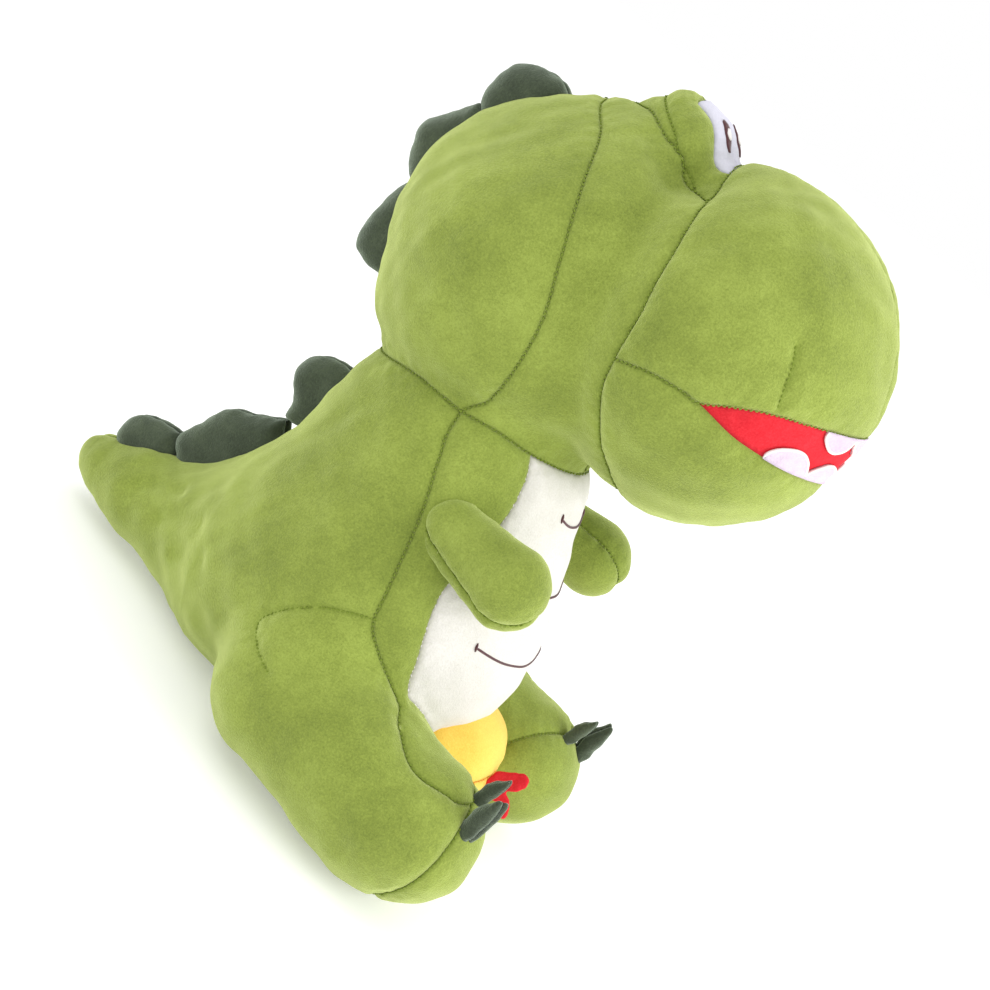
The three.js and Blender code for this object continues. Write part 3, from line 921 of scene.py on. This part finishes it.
# ---------------------------------------------------------------- stuffing the cloth
def inflate(closed_forms):
    """Blows up closed cloth forms, held at their seams, and returns how far each point swells."""
    cap, frames = 5.0, 20
    scene = bpy.context.scene
    tests = []
    for form, lo, hi, pitch, tree, hold, sits in closed_forms:
        v, t = skin(form, lo, hi, pitch)
        me = bpy.data.meshes.new("sim")
        me.from_pydata((v * MM).tolist(), [], t.tolist())
        o = bpy.data.objects.new("sim", me)
        bpy.context.collection.objects.link(o)
        d = reach(tree, v)
        pin = np.clip((hold - d) / 2.0, 0, 1)
        if sits:
            pin = np.maximum(pin, np.clip((7 - v[:, 2]) / 3.0, 0, 1))
        group = o.vertex_groups.new(name="pin")
        for k in np.nonzero(pin > 0.02)[0]:
            group.add([int(k)], float(pin[k]), "REPLACE")
        mod = o.modifiers.new("cloth", "CLOTH")
        c = mod.settings
        c.quality = 5
        c.mass = 0.12
        c.tension_stiffness = c.compression_stiffness = 18
        c.shear_stiffness = 10
        c.bending_stiffness = 0.4
        c.use_pressure = True
        c.uniform_pressure_force = 4.0
        c.vertex_group_mass = "pin"
        c.effector_weights.gravity = 0
        mod.point_cache.frame_start = 1
        mod.point_cache.frame_end = frames
        tests.append((o, v, normals_of(form, v)))
    for f in range(1, frames + 1):
        scene.frame_set(f)
    dg = bpy.context.evaluated_depsgraph_get()
    out = []
    for o, v, n in tests:
        e = o.evaluated_get(dg).data
        q = np.empty(len(v) * 3)
        e.vertices.foreach_get("co", q)
        up = ((q.reshape(-1, 3) / MM - v) * n).sum(-1)
        out.append((tree_of(v), np.clip(up, -cap, cap), float(np.abs(up).max())))
        bpy.data.objects.remove(o)
    scene.frame_set(1)
    return out


def swell_of(result):
    """How far the blown-up cloth stands off at a point, mm."""
    tree, up, _ = result

    def swell(p):
        got = np.zeros(len(p))
        for i, q in enumerate(p if tree.find(p[0])[2] < 25 else p * MIRROR):
            near = tree.find_n(q, 5)
            w = np.array([1 / (n[2] + 0.4) ** 2 for n in near])
            got[i] = (w * up[[n[1] for n in near]]).sum() / w.sum()
        return got

    return swell


def sewn(tree, puff=1.3, span=14.0, deep=1.5, wide=9.0, lumps=1.0, folds=None, floor=True,
         swell=None):
    """Where points of a form go once it is stuffed and sewn along the seam points in a tree."""
    def place(p, n, d=None):
        d = reach(tree, p) if d is None else d
        w = np.exp(-d / 5.5)
        up = (puff * (1 - np.exp(-d / span)) - groove(d, deep, wide) + 1.1 * lumps * np.tanh(ROLL(p) / 1.6)
              + 0.26 * lumps * RUMPLE(p) * (1 - 0.7 * w) + 0.36 * PUCKER(p) * w * (1 - np.exp(-d / 1.2)))
        if swell is not None:
            up += swell(p)
        if folds is not None:
            up -= 1.6 * np.exp(-(reach(folds, p) / 4.5) ** 2)
        q = p + n * up[:, None]
        if floor:
            q[:, 2] = np.maximum(q[:, 2], 0.15)
        return q

    return place


SWELL_BODY = SWELL_ARM = None
blown = inflate([(whole_form, (-178, -120, -8), (178, 120, 398), 5.0, SEAMS, 4.5, True),
                 (arm_form, (10, 24, 124), (120, 94, 192), 4.0, ARM_TREE, 2.5, False)])
SWELL_BODY, SWELL_ARM = (swell_of(r) for r in blown)
print("cloth swelled by up to", [round(r[2], 1) for r in blown], "mm")
moved = sewn(SEAMS, folds=FOLD_TREE, swell=SWELL_BODY)
HEM = 3.0                           # how far the cloth is turned in at a seam


def mouth_place(p, n, d=None):
    """The mouth lining lies deeper than the cloth round it."""
    d = reach(SEAMS, p) if d is None else d
    return moved(p, n, d) - n * (3.2 * (1 - np.exp(-d / 2.2)))[:, None]


def hem(v, t, n):
    """The seam allowance: the cloth turned in along its edge."""
    rim = rim_of(v, t)
    ids, inv = np.unique(rim, return_inverse=True)
    inv = inv.reshape(-1, 2) + len(v)
    low = v[ids] - n[ids] * HEM
    return np.concatenate([v, low]), np.concatenate([t, wall(rim, inv)]), ids


def panel(name, mesh, material, both_sides=False, form=whole_form, tree=SEAMS, place=moved):
    """One cut of cloth, on the right and on the left, or across the middle."""
    made = []
    for side, word in (((0, ""),) if both_sides else SIDES):
        v, t = whole_panel(*mesh) if both_sides else compact(*mesh)
        if side < 0:
            v, t = flip(v, t)
        n = normals_of(form, v)
        d = reach(tree, v)
        q, t2, ids = hem(place(v, n, d), t, n)
        # painted shade: the cloth darkens towards each seam and is fully dark on the turned-in hem
        shade = np.concatenate([0.5 * np.exp(-d / 1.3), np.ones(len(ids))])
        made.append(make(f"{name}_{word}" if word else name, q, t2, material, shade))
    return made


def thread(name, groups, material, form=whole_form, place=moved, **how):
    """Stitches along seams given for the left half, on both sides."""
    lines = [c for g in groups for c in (chains(g) if np.ndim(g) == 3 else [np.array(g)])]
    made = []
    for side, word in SIDES:
        v, t = stitches([c * [1, side, 1] for c in lines], form, place, **how)
        made.append(make(f"{name}_{word}", v, t, material))
    return made


PIECES = {}                         # name: (object, body, slot); NECK pieces span the neck, are baked where they are and belong to no body
TORSO, HEAD, NECK = "torso", "head", "neck"


def add(objects, body, slot):
    for o in objects:
        PIECES[o.name] = (o, body, slot)


add(panel("crown", crown, GREEN), NECK, "green_plush")
add(panel("cheek", cheek, GREEN), NECK, "green_plush")
add(panel("jaw", jaw, GREEN), NECK, "green_plush")
add(panel("snout", snout, GREEN), HEAD, "green_plush")
add(panel("hood", hood, GREEN), HEAD, "green_plush")
add(panel("eye_cloth", white, EYEW), HEAD, "white_plush")
add(panel("mouth", mouth, RED, True, place=mouth_place), HEAD, "red_cloth")
add(panel("belly", belly, WHITE, True), TORSO, "white_plush")
add(panel("flank", flank, GREEN), TORSO, "green_plush")
add(panel("back", back, GREEN), TORSO, "green_plush")
add(panel("sole", sole, GREEN), TORSO, "green_plush")
add(thread("stitch_head", [s_crown, s_cheek, s_eye, s_upper, MID["crown"], MID["cheek"], MID["jaw"]],
           THREAD_G), NECK, "green_plush")
add(thread("stitch_face", [s_lid, MID["snout"], MID["hood"], SNOUT_DART], THREAD_G), HEAD, "green_plush")
add(thread("stitch_body", [s_neck, s_side, s_sole, MID["back"], MID["flank"], THIGH_DART], THREAD_G),
    TORSO, "green_plush")
add(thread("stitch_belly", [s_belly], THREAD_W, thick=0.5, sink=0.35), TORSO, "white_plush")

# ---------------------------------------------------------------- arms
arm_place = sewn(ARM_TREE, puff=1.0, span=8, deep=1.2, wide=7, lumps=0.7, floor=False,
                 swell=SWELL_ARM)
arm_set = dict(form=arm_form, tree=ARM_TREE, place=arm_place)
for pair in (panel("sleeve_outer", arm_out, GREEN, **arm_set),
             panel("sleeve_inner", arm_in, GREEN, **arm_set),
             thread("stitch_arm", [s_arm], THREAD_G, arm_form, arm_place)):
    for (_, word), o in zip(SIDES, pair):
        add([o], f"arm_{word}", "green_plush")


# ---------------------------------------------------------------- crest, claws, pad and tab
def pillow(name, outline, thick, plump, material, stitch, body, slot, at=None, pitch=1.5, deep=1.6,
           wide=6.0, lumps=0.5):
    """Two panels sewn round an outline and stuffed. The outline lies in X and Z, the seam at Y = 0."""
    poly = curve(list(outline) + [outline[0]], 5)[:-1]

    def form(p):
        d = outline_distance(p[..., 0], p[..., 2], poly)
        return np.sqrt((p[..., 1] * plump / thick) ** 2 + np.maximum(d + plump, 0) ** 2 + 1e-6) - plump

    lo, hi = poly.min(0) - 3, poly.max(0) + 3
    mesh = skin(form, (lo[0], -thick - 3, lo[1]), (hi[0], thick + 3, hi[1]), pitch)
    a, b, seam = cut(*mesh, form, f_mid, pitch)
    tree = tree_of(points_of(seam))
    place = sewn(tree, puff=0.8, span=6, deep=deep, wide=wide, lumps=lumps, floor=False)
    v, t = compact(a[0], np.concatenate([a[1], b[1]]))
    d = reach(tree, v)
    q = place(v, normals_of(form, v), d)
    sv, st = stitches(chains(seam), form, place, pitch=2.0, thick=0.5)
    if at is not None:
        q, sv = at(q), at(sv)
    # painted shade: the cloth darkens towards its seam groove
    add([make(name, q, t, material, 0.8 * np.exp(-d / 1.2))], body, slot)
    add([make("stitch_" + name, sv, st, stitch)], body, slot)


HEAD_CREST = [
    [(-53, 340), (-61, 344), (-74, 343), (-85, 336), (-89, 325), (-88, 311), (-70, 300), (-50, 320)],
    [(-88, 311), (-98, 299), (-107, 287), (-106, 276), (-95, 259), (-75, 265), (-72, 300)],
    [(-95, 259), (-99, 247), (-101, 226), (-96, 214), (-78, 212), (-65, 225), (-75, 262)]]
BACK_CREST = [
    [(-56, 165), (-70, 163), (-81, 157), (-85, 144), (-76, 131), (-73, 120), (-50, 130), (-45, 160)],
    [(-73, 120), (-91, 109), (-104, 102), (-112, 86), (-118, 67), (-95, 55), (-65, 95)],
    [(-118, 72), (-135, 68), (-146, 61), (-150, 50), (-147, 41), (-130, 35), (-112, 55)]]
for i, shape in enumerate(HEAD_CREST):
    pillow(f"head_lobe_{i + 1}", shape, 11.5, 11, DARK, THREAD_D, NECK if i == 2 else HEAD,
           "dark_green_plush")
for i, shape in enumerate(BACK_CREST):
    pillow(f"back_lobe_{i + 1}", shape, 10.5 - 0.8 * i, 10, DARK, THREAD_D, TORSO, "dark_green_plush")

CLAW = [(-5.5, -13), (-3, -16), (1.5, -15), (4.5, -9), (6, 0), (6.5, 8), (5.5, 15), (3, 17),
        (-1, 11), (-5, 3)]
# centre, the way it points outward in X and Y, lean in degrees, size
CLAW_AT = [((142.5, 64, 80), (1.0, 0.0), 8, 0.74), ((149.5, 78, 73.5), (0.87, 0.5), 0, 0.98)]
for side, word in SIDES:
    for i, (centre, out, lean, size) in enumerate(CLAW_AT):
        n = np.array([out[0], out[1] * side, 0])
        n /= np.linalg.norm(n)
        c, sn = math.cos(math.radians(lean)), math.sin(math.radians(lean))
        up = np.array([0, 0, 1.0])
        fore, tall = n * c - up * sn, up * c + n * sn
        m = np.stack([fore, np.cross(tall, fore), tall]) * size
        pillow(f"toe_claw_{i + 1}_{word}", CLAW, 5.2, 5.6, DARK, THREAD_D, TORSO, "dark_green_plush",
               lambda p, m=m, c=np.array(centre) * [1, side, 1]: p @ m + c,
               pitch=1.0, deep=1.1, wide=4.5, lumps=0.25)


def pad_seam(p):
    return p[..., 0] * 0.35 - p[..., 2] * 0.94 + 6.0


def lap_pad():
    pitch = 1.8
    pad = skin(pad_form, (64, -50, 22), (137, 50, 89), pitch)
    a, b, s = cut(*pad, pad_form, pad_seam, pitch)
    tree = tree_of(points_of(s))
    place = sewn(tree, puff=0.8, deep=0.8, wide=6, lumps=0.6)
    v, t = compact(a[0], np.concatenate([a[1], b[1]]))
    d = reach(tree, v)
    # painted shade: the cushion darkens towards its seam groove
    add([make("lap_cushion", place(v, normals_of(pad_form, v), d), t, YELLOW, 0.6 * np.exp(-d / 1.2))],
        TORSO, "yellow_plush")
    v, t = stitches(chains(s), pad_form, place)
    add([make("stitch_lap", v, t, THREAD_Y)], TORSO, "yellow_plush")


lap_pad()

TAB = [(130, 50), (131, 60), (135.5, 63.4), (138.8, 66.3), (142.2, 68.6), (145.0, 68.8), (147.0, 66.5),
       (147.2, 62.9), (144.9, 58.8), (142.0, 56.0), (142.6, 54.4), (145.4, 53.0), (148.0, 50.6),
       (149.6, 47.0), (149.6, 43.8), (147.6, 43.2), (145.6, 45.6), (142.6, 48.2), (138.5, 47.4)]


def felt_tab():
    """A lobed piece of felt, 2 mm thick, with a slight twist."""
    poly = curve(TAB + [TAB[0]], 4)[:-1]

    def form(p):
        d = outline_distance(p[..., 0], p[..., 2], poly)
        y = p[..., 1] - 0.12 * (p[..., 2] - 56) - 0.10 * (p[..., 0] - 138)
        return np.sqrt(y ** 2 + np.maximum(d + 1.1, 0) ** 2 + 1e-6) - 1.1

    v, t = skin(form, (128, -6, 40), (152, 6, 72), 0.8)
    n = normals_of(form, v)
    v = v + n * (0.12 * PUCKER(v * 1.7))[:, None]
    add([make("felt_tab", v, t, RED)], TORSO, "red_cloth")


felt_tab()


# ---------------------------------------------------------------- teeth, eyes and belly stitches
def tooth_row(name, f):
    """Felt teeth in one piece across the mouth, with an overlocked edge."""
    teeth, _, edge = cut(*mouth, whole_form, f)
    v, t = slab(*whole_panel(*teeth), 1.5, mouth_place)
    add([make(name, v, t, FELT)], HEAD, "tooth_felt")
    rows = [tube(line * [1, s, 1], whole_form, mouth_place, 0.75, 1.2) for line in chains(edge)
            for s in (-1, 1)]
    add([make(name + "_edge", *join(rows), THREAD_W)], HEAD, "tooth_felt")


tooth_row("low_teeth", f_low_teeth)
tooth_row("top_teeth", f_top_teeth)


def oval(y, z, ry, rz):
    """A cutting field for an oval on the front of each eye, in the head's Y and Z."""
    def f(p):
        h = to_head(p)
        small = min(ry, rz)
        ring = np.sqrt(((np.abs(h[..., 1]) - y) / ry) ** 2 + ((h[..., 2] - z) / rz) ** 2)
        return ring * small - small + np.where(h[..., 0] < -8, 50.0, 0.0)

    return f


def eye_patch(name, f, top, material, slot):
    part, _, _ = cut(*white, whole_form, f, 1.0)
    for side, word in SIDES:
        v, t = compact(*part)
        if side < 0:
            v, t = flip(v, t)
        v, t = slab(v, t, top, moved)
        add([make(f"{name}_{word}", v, t, material)], HEAD, slot)


eye_patch("pupil", oval(8.4, 84.0, 2.5, 6.3), 0.6, THREAD_B, "brown_thread")
eye_patch("glint", oval(8.3, 85.0, 1.7, 2.2), 1.0, THREAD_W, "white_plush")


def front_of(y, z):
    """The furthest forward point of the body at a given width and height."""
    x = np.arange(150, 20, -1.0)
    p = np.stack([x, np.full_like(x, y), np.full_like(x, z)], -1)
    f = body_form(p)
    k = int(np.argmax(f < 0))
    r = f[k - 1] / (f[k - 1] - f[k])
    return (x[k - 1] - r, y, z)


BELLY_LINES = [(182, 4, 16), (147, 5, 30), (113, 6, 44)]     # height, rise of the ends, half width
for i, (z, sag, w) in enumerate(BELLY_LINES):
    line = [front_of(w * k / 12, z + sag * (k / 12) ** 2) for k in range(-12, 13)]
    rows = [tube(settle(whole_form, np.array(line), 2), whole_form, moved, 0.65, 0.1)]
    for k in (-1, 1):
        tick = [front_of(k * w - k * 0.4, z + sag + 2.2), front_of(k * w + k * 0.3, z + sag),
                front_of(k * w - k * 0.3, z + sag - 2.0)]
        rows.append(tube(settle(whole_form, np.array(tick), 2), whole_form, moved, 0.7, 0.3, step=0.8))
    add([make(f"belly_thread_{i + 1}", *join(rows), THREAD_B)], TORSO, "brown_thread")


# ---------------------------------------------------------------- floor, light and view
FLOOR = 60                          # half its width, m
MIDDLE = Vector((0, 0, 0.18))       # what the lamps point at


def floor():
    corners = [(-FLOOR, -FLOOR, 0), (FLOOR, -FLOOR, 0), (FLOOR, FLOOR, 0), (-FLOOR, FLOOR, 0)]
    me = bpy.data.meshes.new("floor")
    me.from_pydata(corners, [], [(0, 1, 2, 3)])
    o = bpy.data.objects.new("floor", me)
    bpy.context.collection.objects.link(o)
    m = bpy.data.materials.new("floor")
    m.use_nodes = True
    b = m.node_tree.nodes["Principled BSDF"]
    b.inputs["Base Color"].default_value = (0.82, 0.82, 0.82, 1)
    b.inputs["Emission Color"].default_value = (1, 1, 1, 1)
    b.inputs["Emission Strength"].default_value = 0.3
    b.inputs["Roughness"].default_value = 0.9
    b.inputs["Specular IOR Level"].default_value = 0.1
    me.materials.append(m)
    return o


def lamp(name, offset, power):
    """A square soft light at an offset from the middle of the toy."""
    d = bpy.data.lights.new(name, "AREA")
    d.energy, d.size = power, 0.9
    o = bpy.data.objects.new(name, d)
    o.location = MIDDLE + offset
    o.rotation_euler = (-offset).to_track_quat("-Z", "Y").to_euler()
    bpy.context.collection.objects.link(o)


def world():
    w = bpy.data.worlds.new("studio")
    w.use_nodes = True
    bg = w.node_tree.nodes["Background"]
    bg.inputs[0].default_value = (1, 1, 1, 1)
    bg.inputs[1].default_value = 1.0
    bpy.context.scene.world = w


floor()
world()
lamp("key", UP * 1.1 + BACK * 0.7, 4.5)
lamp("front", RIGHT * 1.15 - UP * 0.6 + BACK * 0.45, 12)
bpy.context.scene.view_settings.view_transform = "Standard"
bpy.context.scene.view_settings.exposure = 0.0

# ---------------------------------------------------------------- bodies and what each stands for
STANDS = {"lap_cushion": ["lap_pad"], "felt_tab": ["lap_tab"], "belly": ["belly_panel"],
          "mouth": ["mouth_lining"], "low_teeth": ["lower_teeth"], "top_teeth": ["upper_teeth"]}
PAIRS = {name: f"{name}_panel" for name in ("crown", "cheek", "snout", "jaw", "flank", "back", "sole")}
PAIRS |= {"hood": "eye_hood", "eye_cloth": "eye_white", "pupil": "eye_pupil",
          "sleeve_outer": "arm_outer", "sleeve_inner": "arm_inner",
          "toe_claw_1": "claw_1", "toe_claw_2": "claw_2"}
for _, word in SIDES:
    for mine, cad in PAIRS.items():
        STANDS[f"{mine}_{word}"] = [f"{cad}_{word}"]
    STANDS[f"hood_{word}"].append(f"eye_stuffing_{word}")
    STANDS[f"sleeve_outer_{word}"].append(f"arm_stuffing_{word}")
STANDS["back_right"] += ["body_stuffing", "seat_panel"]
STANDS["crown_right"] += ["head_stuffing"]
for i in (1, 2, 3):
    STANDS[f"head_lobe_{i}"] = [f"head_crest_{i}"]
    STANDS[f"back_lobe_{i}"] = [f"back_crest_{i}"]
    STANDS[f"belly_thread_{i}"] = [f"belly_line_{i}"]

# each piece goes onto its body, or is baked where it is when it spans the neck; the model parts it stands
# for are hidden
for name, (o, body, slot) in PIECES.items():
    if body == NECK:
        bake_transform(o)
    else:
        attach(o, body)
    if name in STANDS:
        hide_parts(*STANDS[name])
